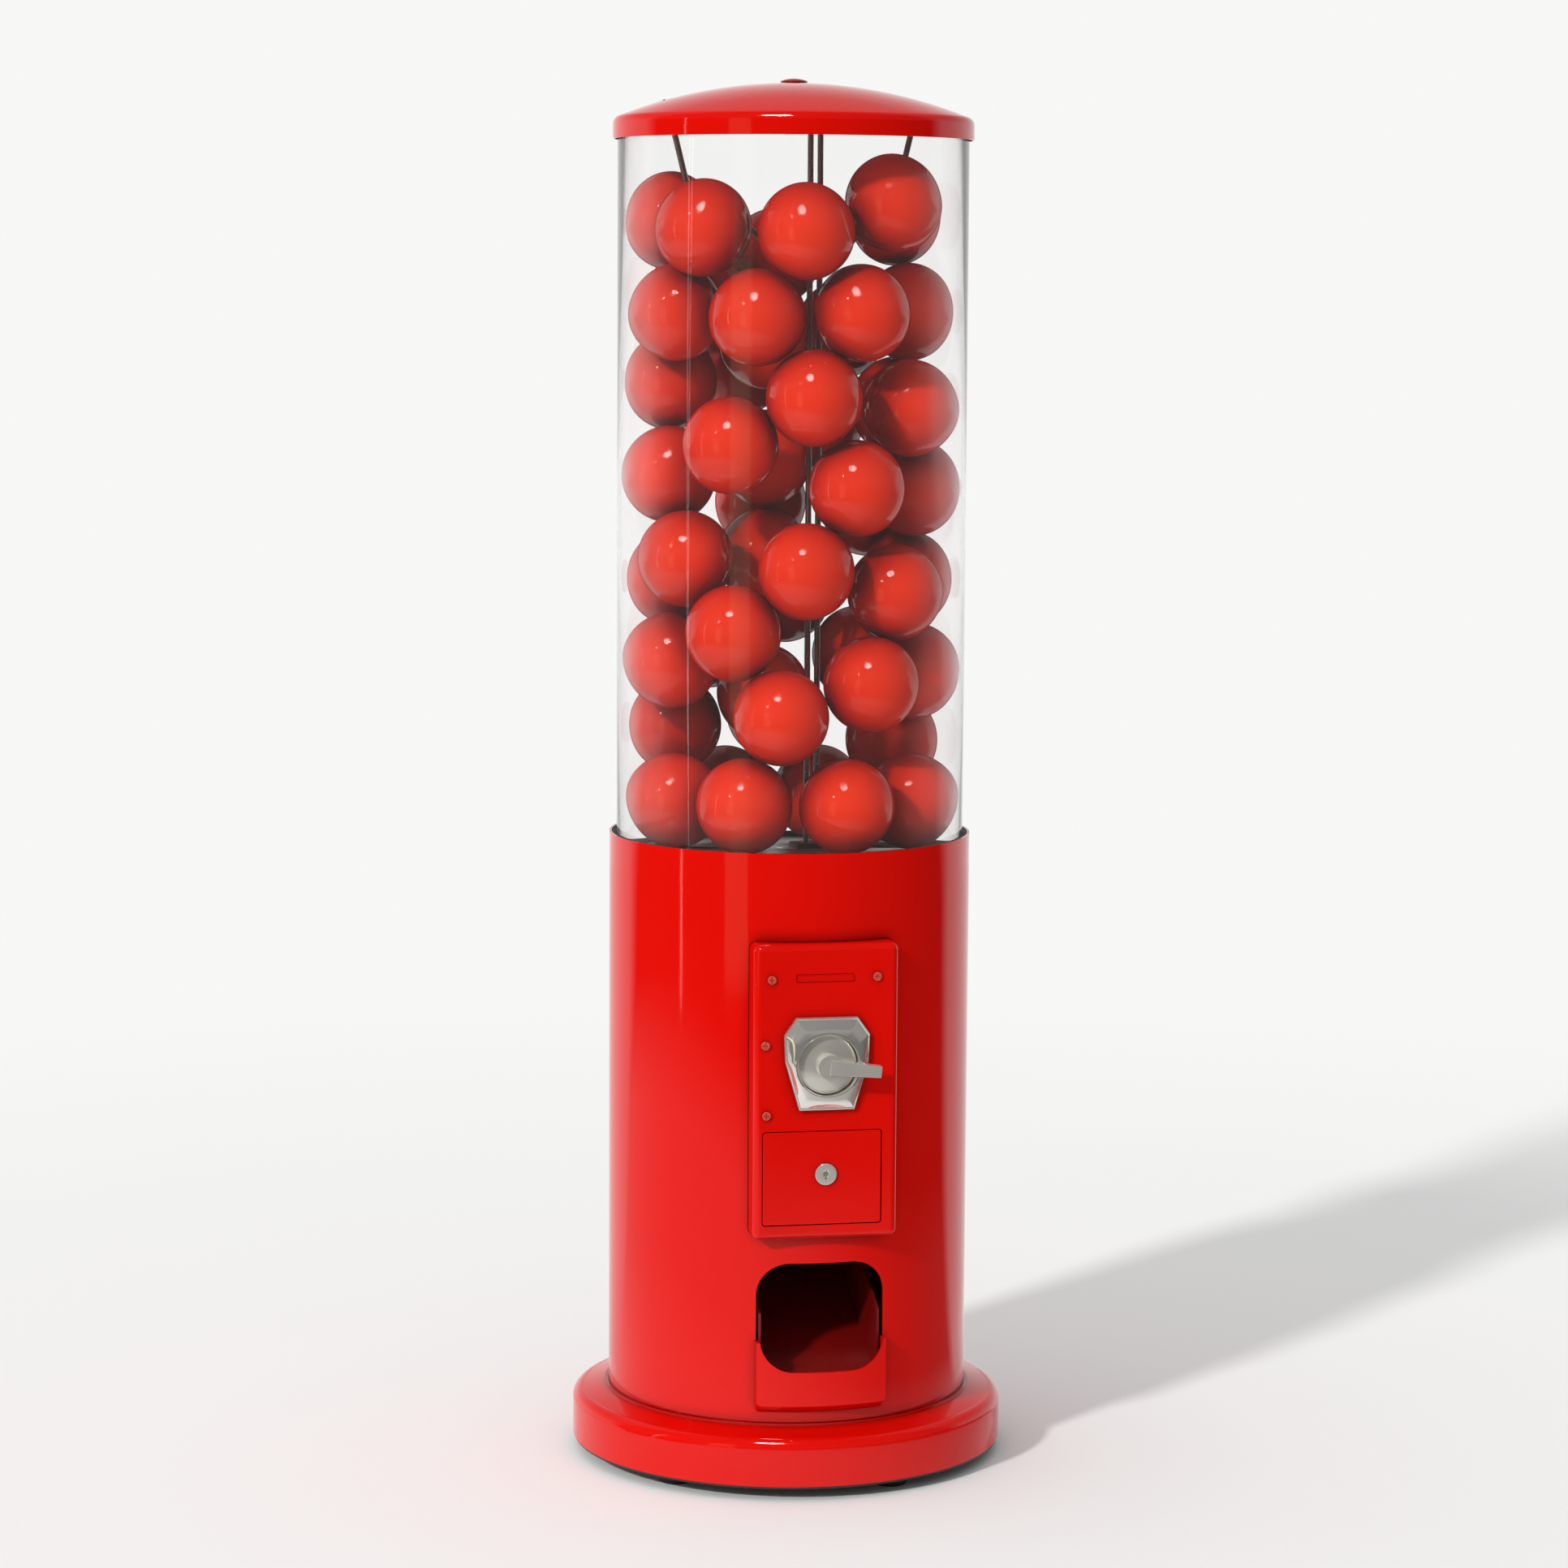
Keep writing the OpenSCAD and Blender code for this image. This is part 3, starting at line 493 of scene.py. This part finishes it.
def coin_plate():
    """Chrome face of the coin mechanism: flat-sided rim, facets that rise to a ring round the disc."""
    low, high = node_box("mech_plate")
    disc_low, disc_high = node_box("coin_disc")
    centre_x = (disc_low.x + disc_high.x) / 2
    centre_z = (disc_low.z + disc_high.z) / 2
    disc_gap = 0.0006
    hole = (disc_high.x - disc_low.x) / 2 + disc_gap
    half = high.x
    top_half = 0.025
    bottom_half = 0.0225
    shoulder_z = high.z - 0.014
    waist_z = high.z - 0.036
    waist_half = half - 0.001
    corners = [(top_half, high.z), (half, shoulder_z), (waist_half, waist_z), (bottom_half, low.z),
               (-bottom_half, low.z), (-waist_half, waist_z), (-half, shoulder_z), (-top_half, high.z)]
    back = high.y
    skirt_height = 0.0055
    skirt = low.y + skirt_height
    facet_foot = skirt + 0.0004
    facet_shrink = 0.955
    crest = low.y
    sides = 12
    facet_steps = 9
    outline = []
    for start, stop in zip(corners, corners[1:] + corners[:1]):
        for step in range(sides):
            part = step / sides
            outline.append((start[0] + (stop[0] - start[0]) * part, start[1] + (stop[1] - start[1]) * part))

    def level(y, shrink):
        ring = []
        for x, z in outline:
            ring.append((centre_x + (x - centre_x) * shrink, y, centre_z + (z - centre_z) * shrink))
        return ring

    def round_level(y, radius):
        ring = []
        for x, z in outline:
            turn = math.atan2(z - centre_z, x - centre_x)
            ring.append((centre_x + radius * math.cos(turn), y, centre_z + radius * math.sin(turn)))
        return ring

    levels = [level(back, 1.0), level(skirt + 0.001, 1.0), level(skirt + 0.0003, 0.992), level(skirt, 0.975),
              level(facet_foot, facet_shrink)]
    for step in range(1, facet_steps):
        part = step / facet_steps
        depth = facet_foot + (crest - skirt) * math.sin(part * math.pi / 2)
        mixed = []
        for outer, inner in zip(level(skirt, facet_shrink), round_level(crest, hole + 0.0025)):
            x = outer[0] + (inner[0] - outer[0]) * part
            z = outer[2] + (inner[2] - outer[2]) * part
            mixed.append((x, depth, z))
        levels.append(mixed)
    levels += [round_level(crest, hole + 0.0022), round_level(crest, hole + 0.0008),
               round_level(crest + 0.0008, hole), round_level(back, hole)]
    mesh = as_mesh(closed_rings(levels), "coin_plate")
    finish_piece("coin_plate", mesh, CHROME, "machine", ("mech_plate",), 24.0)


coin_plate()


def domed_disc():
    """Turning disc of the coin mechanism, its face a shallow dome."""
    low, high = node_box("coin_disc")
    radius = (high.x - low.x) / 2
    centre_z = (low.z + high.z) / 2
    sag = 0.0022
    edge = 0.0004
    steps = 24
    profile = [(radius * step / steps, low.y + sag * (step / steps) ** 2) for step in range(1, steps)]
    profile += [(radius - edge, low.y + sag * 0.98), (radius, low.y + sag + edge), (radius, high.y)]
    work = bmesh.new()
    middle = work.verts.new((0.0, low.y, centre_z))
    segments = 96
    previous = None
    for reach, depth in profile:
        ring = []
        for index in range(segments):
            turn = 2 * math.pi * index / segments
            ring.append(work.verts.new((reach * math.cos(turn), depth, centre_z + reach * math.sin(turn))))
        for index in range(segments):
            after = (index + 1) % segments
            if previous is None:
                work.faces.new((middle, ring[index], ring[after]))
            else:
                work.faces.new((previous[index], ring[index], ring[after], previous[after]))
        previous = ring
    work.faces.new(previous)
    bmesh.ops.recalc_face_normals(work, faces=work.faces)
    finish_piece("domed_disc", as_mesh(work, "domed_disc"), CASTING, "handle", ("coin_disc",), 50.0)


domed_disc()


# ---------------------------------------------------------------- gumballs
def loose_balls(mesh):
    """Centre and radius of each separate ball in a CAD node, from the box of its own vertices."""
    work = bmesh.new()
    work.from_mesh(mesh)
    bmesh.ops.remove_doubles(work, verts=work.verts, dist=1e-6)
    work.verts.ensure_lookup_table()
    seen = set()
    balls = []
    for vert in work.verts:
        if vert.index in seen:
            continue
        seen.add(vert.index)
        stack = [vert]
        low = vert.co.copy()
        high = vert.co.copy()
        while stack:
            current = stack.pop()
            for axis in range(3):
                low[axis] = min(low[axis], current.co[axis])
                high[axis] = max(high[axis], current.co[axis])
            for edge in current.link_edges:
                other = edge.other_vert(current)
                if other.index not in seen:
                    seen.add(other.index)
                    stack.append(other)
        balls.append(((low + high) / 2, (high.z - low.z) / 2))
    work.free()
    return balls


# A shell is this share of the ball's size at its plain level, and swells by up to the second share
SHELL_SIZE = 0.9935
SHELL_SWELL = 0.0065


def ball_set(name, node, body):
    """Slightly uneven sugar shells inside the true ball size."""
    work = bmesh.new()
    for index, (centre, radius) in enumerate(loose_balls(nodes[node].data)):
        made = bmesh.ops.create_icosphere(work, subdivisions=5, radius=1.0)
        shift = Vector((index * 3.7, index * 1.9, index * 2.3))
        for vert in made["verts"]:
            direction = vert.co.normalized()
            swell = noise.noise(direction * 1.3 + shift) * 0.010
            swell += noise.noise(direction * 3.1 - shift) * 0.003
            vert.co = centre + direction * radius * (SHELL_SIZE + min(SHELL_SWELL, swell * 0.5))
    finish_piece(name, as_mesh(work, name), GUMBALL, body, (node,), None)


ball_set("gumball_shells", "gumballs", "machine")
ball_set("wheel_gumball_shells", "pocket_gumballs", "wheel")


# ---------------------------------------------------------------- floor, light and camera
# Floor paper, in metres from the machine: where gloss starts to see it, where it ends for gloss towards the
# front, how bright gloss sees it, how much farther that end lies on the left, and where it fades out
FLOOR_RADIUS = 3.6
PAPER_EDGE = (0.3, 0.6)
PAPER_END = (1.1, 1.7)
PAPER_DIM = 0.7
PAPER_LEAN = 0.35
PAPER_FADE = (1.2, 2.4)
# Plain light from the sides, how much of it moves over to the left, and plain light from above
SIDE_FILL = 0.29
SIDE_SWING = 0.8
TOP_FILL = 0.62
# What gloss sees: white behind the machine, dark in front of it, a lighter sky above the front, a darker top
BACK_WHITE = 1.0
FRONT_DARK = 0.05
FRONT_SKY = 0.35
SKY_DARK = 0.35
# Share of the backdrop's brightness that light turned back inside the tank wall keeps
WALL_SHARE = 0.92
BACKDROP = rgb(0.935, 0.935, 0.92)
# Key light: strength, softness in degrees, colour, and where it stands as seen from the camera
KEY_STRENGTH = 1.85
KEY_SOFTNESS = 4.5
KEY_COLOUR = (1.0, 0.99, 0.975)
KEY_AZIMUTH = -37.5
KEY_ELEVATION = 30.5
WARM_PANEL = (1.0, 0.8, 0.5)


def view_to_world(azimuth):
    """Direction over the floor of an azimuth counted from the camera, positive to the camera's right."""
    turn = math.radians(azimuth + 180 - CAMERA_TURN)
    return Vector((-math.sin(turn), math.cos(turn), 0.0))


def dot_node(tree, vector, direction):
    node = tree.nodes.new("ShaderNodeVectorMath")
    node.operation = "DOT_PRODUCT"
    tree.links.new(vector, node.inputs[0])
    node.inputs[1].default_value = direction
    return node.outputs["Value"]


def ray_kinds(tree):
    """Masks: seen straight or through the tank, seen by gloss, and turned back inside the tank wall."""
    path = tree.nodes.new("ShaderNodeLightPath")
    once = math_node(tree, "MINIMUM", path.outputs["Glossy Depth"], 1.0)
    lit = math_node(tree, "MINIMUM", path.outputs["Diffuse Depth"], 1.0)
    through = path.outputs["Is Transmission Ray"]
    straight = math_node(tree, "SUBTRACT", 1.0, math_node(tree, "MAXIMUM", once, lit))
    through_straight = math_node(tree, "MULTIPLY", through, straight)
    through_mirrored = math_node(tree, "MULTIPLY", through, once)
    seen = math_node(tree, "MAXIMUM", path.outputs["Is Camera Ray"], through_straight)
    mirrored = math_node(tree, "MAXIMUM", path.outputs["Is Glossy Ray"], through_mirrored)
    shallow = math_node(tree, "LESS_THAN", path.outputs["Transmission Depth"], 2.5)
    wall_only = math_node(tree, "MULTIPLY", shallow, through_mirrored)
    return seen, math_node(tree, "SUBTRACT", mirrored, wall_only), wall_only


def build_floor():
    work = bmesh.new()
    bmesh.ops.create_circle(work, cap_ends=True, segments=128, radius=FLOOR_RADIUS)
    floor = bpy.data.objects.new("studio_floor", as_mesh(work, "studio_floor"))
    bpy.context.scene.collection.objects.link(floor)
    material, tree, shader = new_material("studio_floor")
    socket(shader, "Specular IOR Level", 0.0)
    socket(shader, "Roughness", 0.9)
    coords = tree.nodes.new("ShaderNodeTexCoord").outputs["Object"]
    tint = noise_node(tree, coords, 1.5, 3.0)
    tree.links.new(mix_colour(tree, tint, rgb(0.885, 0.895, 0.89), rgb(0.90, 0.905, 0.90)),
                   shader.inputs["Base Color"])
    length = tree.nodes.new("ShaderNodeVectorMath")
    length.operation = "LENGTH"
    tree.links.new(coords, length.inputs[0])
    heading = tree.nodes.new("ShaderNodeVectorMath")
    heading.operation = "NORMALIZE"
    tree.links.new(coords, heading.inputs[0])
    seen, mirrored, wall_only = ray_kinds(tree)
    seen = math_node(tree, "MAXIMUM", seen, wall_only)
    fade = range_node(tree, length.outputs["Value"], PAPER_FADE[0], PAPER_FADE[1], 0.0, 1.0)
    leftward = dot_node(tree, heading.outputs["Vector"], view_to_world(-90))
    lean = math_node(tree, "SUBTRACT", 1.0, math_node(tree, "MULTIPLY", leftward, PAPER_LEAN))
    reach = math_node(tree, "MULTIPLY", length.outputs["Value"], lean)
    beyond = range_node(tree, reach, PAPER_EDGE[0], PAPER_EDGE[1], 0.0, 1.0)
    behind = dot_node(tree, heading.outputs["Vector"], view_to_world(180))
    dim = range_node(tree, leftward, -0.9, 0.3, PAPER_DIM * 0.25, PAPER_DIM)
    front = range_node(tree, reach, PAPER_END[0], PAPER_END[1], dim, FRONT_DARK)
    level = math_node(tree, "MAXIMUM", front, range_node(tree, behind, 0.35, 0.5, 0.0, BACK_WHITE))
    level = math_node(tree, "MAXIMUM", level, math_node(tree, "SUBTRACT", 1.0, mirrored))
    white = tree.nodes.new("ShaderNodeEmission")
    socket(white, "Color", BACKDROP)
    tree.links.new(level, white.inputs["Strength"])
    shown = math_node(tree, "MAXIMUM", math_node(tree, "MULTIPLY", seen, fade),
                      math_node(tree, "MULTIPLY", mirrored, beyond))
    surface = mix_shaders(tree, shown, shader.outputs["BSDF"], white.outputs["Emission"])
    tree.links.new(surface, tree.nodes["Material Output"].inputs["Surface"])
    floor.data.materials.append(material)


build_floor()


def build_world():
    world = bpy.data.worlds.new("studio")
    bpy.context.scene.world = world
    world.use_nodes = True
    tree = world.node_tree
    background = tree.nodes["Background"]
    coords = tree.nodes.new("ShaderNodeTexCoord").outputs["Generated"]
    seen, mirrored, wall_only = ray_kinds(tree)
    split = tree.nodes.new("ShaderNodeSeparateXYZ")
    tree.links.new(coords, split.inputs[0])
    rise = split.outputs["Z"]
    behind = dot_node(tree, coords, view_to_world(180))
    left = dot_node(tree, coords, view_to_world(-90))
    droop = math_node(tree, "MULTIPLY", math_node(tree, "MINIMUM", rise, 0.0), 1.75)
    front = range_node(tree, rise, 0.06, 0.35, FRONT_DARK, FRONT_SKY)
    gloss = range_node(tree, math_node(tree, "ADD", behind, droop), 0.12, 0.3, front, BACK_WHITE)
    gloss = math_node(tree, "MULTIPLY", gloss, range_node(tree, rise, 0.08, 0.5, 1.0, SKY_DARK))
    side = range_node(tree, left, -1.0, 1.0, SIDE_FILL * (1 - SIDE_SWING), SIDE_FILL * (1 + SIDE_SWING))
    above = math_node(tree, "MULTIPLY", math_node(tree, "MAXIMUM", rise, 0.0), TOP_FILL)
    fill = math_node(tree, "ADD", side, above)
    plain = math_node(tree, "SUBTRACT", 1.0, mirrored)
    level = math_node(tree, "ADD", math_node(tree, "MULTIPLY", mirrored, gloss),
                      math_node(tree, "MULTIPLY", plain, fill))
    seen = math_node(tree, "MAXIMUM", seen, math_node(tree, "MULTIPLY", wall_only, WALL_SHARE))
    level = math_node(tree, "MAXIMUM", level, seen)
    tree.links.new(level, background.inputs["Strength"])
    tree.links.new(mix_colour(tree, seen, WHITE, BACKDROP), background.inputs["Color"])


build_world()


def aim_light(light, azimuth, elevation, distance, aim_z):
    """Stands a light round the machine as seen from the camera and turns it to a height on the axis."""
    rise = math.radians(elevation)
    aim = Vector((0, 0, aim_z))
    place = view_to_world(azimuth) * math.cos(rise) * distance
    place = place + Vector((0, 0, math.sin(rise) * distance + aim_z))
    light.location = place
    light.rotation_euler = (aim - place).to_track_quat("-Z", "Y").to_euler()
    bpy.context.scene.collection.objects.link(light)


def key_light():
    data = bpy.data.lights.new("key", "SUN")
    data.energy = KEY_STRENGTH
    data.angle = math.radians(KEY_SOFTNESS)
    data.color = KEY_COLOUR
    light = bpy.data.objects.new("key", data)
    light.visible_glossy = False
    aim_light(light, KEY_AZIMUTH, KEY_ELEVATION, 5.0, 0.5)


def mirrored_panel(name, azimuth, elevation, distance, aim_z, size, power, shape="RECTANGLE",
                   colour=(1.0, 1.0, 1.0)):
    """A bright panel that gloss and chrome see; the plain light comes from the key and the fill."""
    data = bpy.data.lights.new(name, "AREA")
    data.shape = shape
    data.size = size[0]
    data.size_y = size[1]
    data.energy = power
    data.color = colour
    light = bpy.data.objects.new(name, data)
    light.visible_camera = False
    light.visible_diffuse = False
    aim_light(light, azimuth, elevation, distance, aim_z)


key_light()
mirrored_panel("panel_left", -33, 2, 2.6, 0.45, (0.62, 1.7), 2.6, colour=WARM_PANEL)
mirrored_panel("front_spot", -12, 49, 2.2, 0.75, (0.56, 0.56), 52, "ELLIPSE")
mirrored_panel("strip_left", -70, 2, 2.4, 0.7, (0.04, 1.9), 1.2)


def build_camera():
    data = bpy.data.cameras.new("camera")
    data.sensor_width = CAMERA_SENSOR
    data.sensor_fit = "HORIZONTAL"
    data.lens = CAMERA_LENS
    data.clip_end = 50.0
    camera = bpy.data.objects.new("camera", data)
    turn = math.radians(CAMERA_TURN)
    camera.location = (-CAMERA_DISTANCE * math.sin(turn), -CAMERA_DISTANCE * math.cos(turn), CAMERA_HEIGHT)
    heading = Matrix.Rotation(-turn + math.radians(CAMERA_AIM), 4, "Z")
    tilt = Matrix.Rotation(math.radians(90 - CAMERA_TILT), 4, "X")
    roll = Matrix.Rotation(math.radians(CAMERA_ROLL), 4, "Z")
    camera.rotation_euler = (heading @ tilt @ roll).to_euler()
    bpy.context.scene.collection.objects.link(camera)
    bpy.context.scene.camera = camera


build_camera()
bpy.context.scene.view_settings.view_transform = "Standard"
